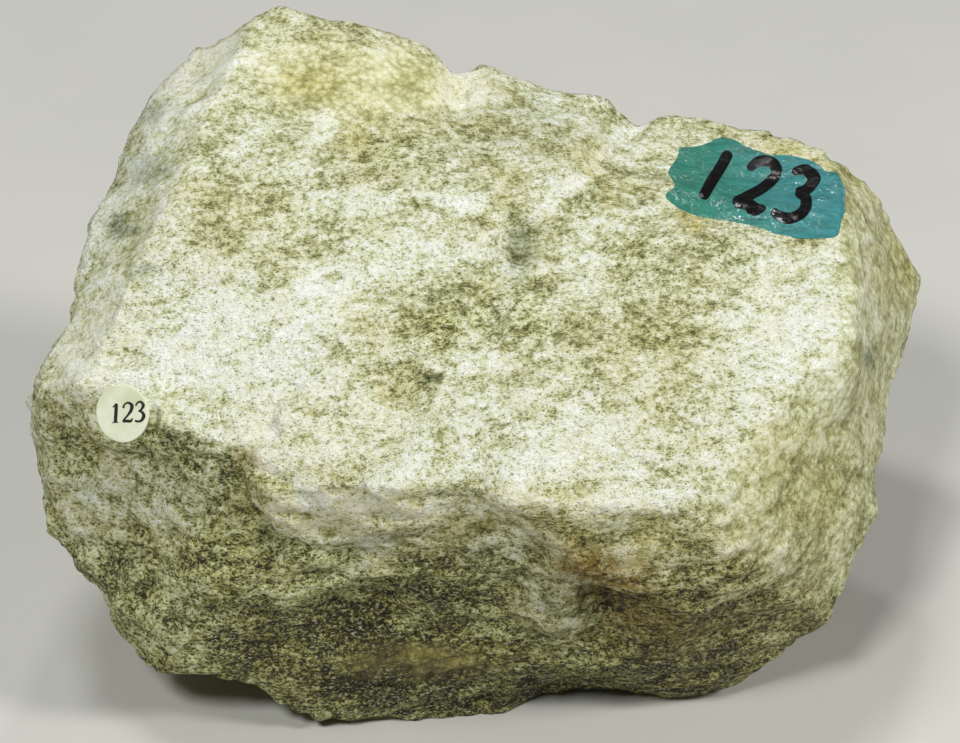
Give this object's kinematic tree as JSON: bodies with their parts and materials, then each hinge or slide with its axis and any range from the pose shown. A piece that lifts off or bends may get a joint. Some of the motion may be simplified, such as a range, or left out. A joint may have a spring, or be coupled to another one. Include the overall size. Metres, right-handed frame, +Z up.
{
  "type": "soapstone specimen",
  "caption": "Broken block of pale green soapstone with rough fracture faces and ledges, resting on a flat spot, with a round paper label and a painted number patch.",
  "frame": {"origin": "middle of the stone's bounding box, at the level of the flat spot that it rests on", "axes": "+X along the stone's longest side, to the right as its bright face is seen; +Y away from the bright face; +Z up"},
  "size_m": [0.1316, 0.0921, 0.0806],
  "materials": {
    "soapstone": "rough broken stone, cream white to olive, fine dark specks, waxy on the right end",
    "label_paper": "smooth cream card with a faint satin",
    "number_paint": "thick glossy teal enamel, brushed on",
    "number_ink": "glossy black enamel, brushed on",
    "label_print": "matt black printing ink"
  },
  "bodies": {
    "root": {"stone": "soapstone", "round_label": "label_paper"}
  },
  "joints": []
}
